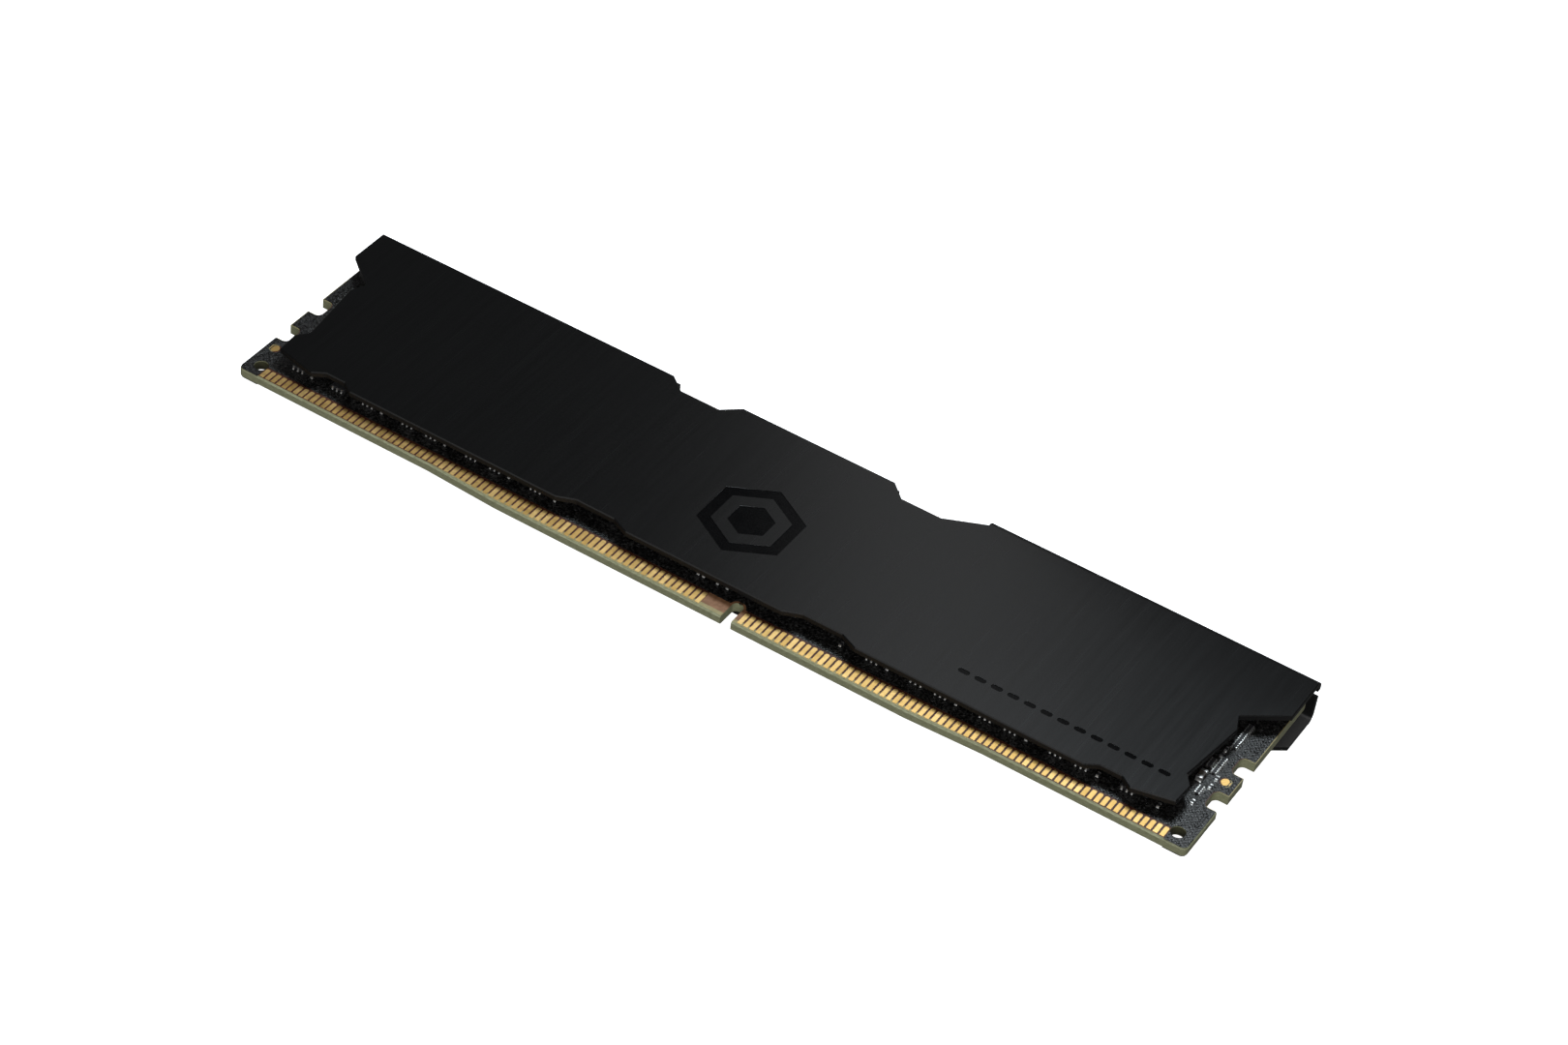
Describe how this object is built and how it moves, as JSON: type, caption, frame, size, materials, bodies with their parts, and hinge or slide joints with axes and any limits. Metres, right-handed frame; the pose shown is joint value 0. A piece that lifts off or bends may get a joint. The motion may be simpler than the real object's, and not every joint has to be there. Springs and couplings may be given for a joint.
{
  "type": "ram module",
  "caption": "Desktop memory module: a black circuit board with gold edge contacts between two brushed black aluminium heat spreaders.",
  "frame": {"origin": "middle of the outline at the rear heat spreader's outer face, on which the module lies", "axes": "+X along the board, pin 1 at -X; +Y from the contact edge to the top edge; +Z out of the front heat spreader"},
  "size_m": [0.1344, 0.0324, 0.0066],
  "materials": {
    "laminate": "bare glass-fibre laminate, khaki edge",
    "solder_mask": "black solder mask, satin",
    "contact_gold": "hard gold plate on copper",
    "chip_mould": "moulded epoxy, matt",
    "solder": "tin solder",
    "resistor_body": "black resistor glass on ceramic",
    "capacitor_body": "tan ceramic",
    "anodised_aluminium": "brushed, black anodised",
    "thermal_pad": "soft filled silicone",
    "emblem_gloss": "gloss black lacquer"
  },
  "bodies": {
    "root": {"back_contacts_long_row": "contact_gold", "back_contacts_short_row": "contact_gold", "back_solder_mask": "solder_mask", "bypass_capacitor_terminals": "solder", "bypass_capacitors": "capacitor_body", "dash_inlays": "emblem_gloss", "data_resistor_arrays": "resistor_body", "data_resistor_terminals": "solder", "dram_chip_1": "chip_mould", "dram_chip_2": "chip_mould", "dram_chip_3": "chip_mould", "dram_chip_4": "chip_mould", "dram_chip_5": "chip_mould", "dram_chip_6": "chip_mould", "dram_chip_7": "chip_mould", "dram_chip_8": "chip_mould", "dram_solder_balls": "solder", "emblem_inlay": "emblem_gloss", "fiducial_marks": "contact_gold", "front_contacts_long_row": "contact_gold", "front_contacts_short_row": "contact_gold", "front_heat_spreader": "anodised_aluminium", "front_solder_mask": "solder_mask", "front_thermal_pad": "thermal_pad", "pcb_laminate": "laminate", "rear_heat_spreader": "anodised_aluminium", "rear_thermal_pad": "thermal_pad", "series_resistor_terminals": "solder", "series_resistors": "resistor_body", "spd_eeprom": "chip_mould", "termination_arrays": "resistor_body", "termination_terminals": "solder"}
  },
  "joints": []
}
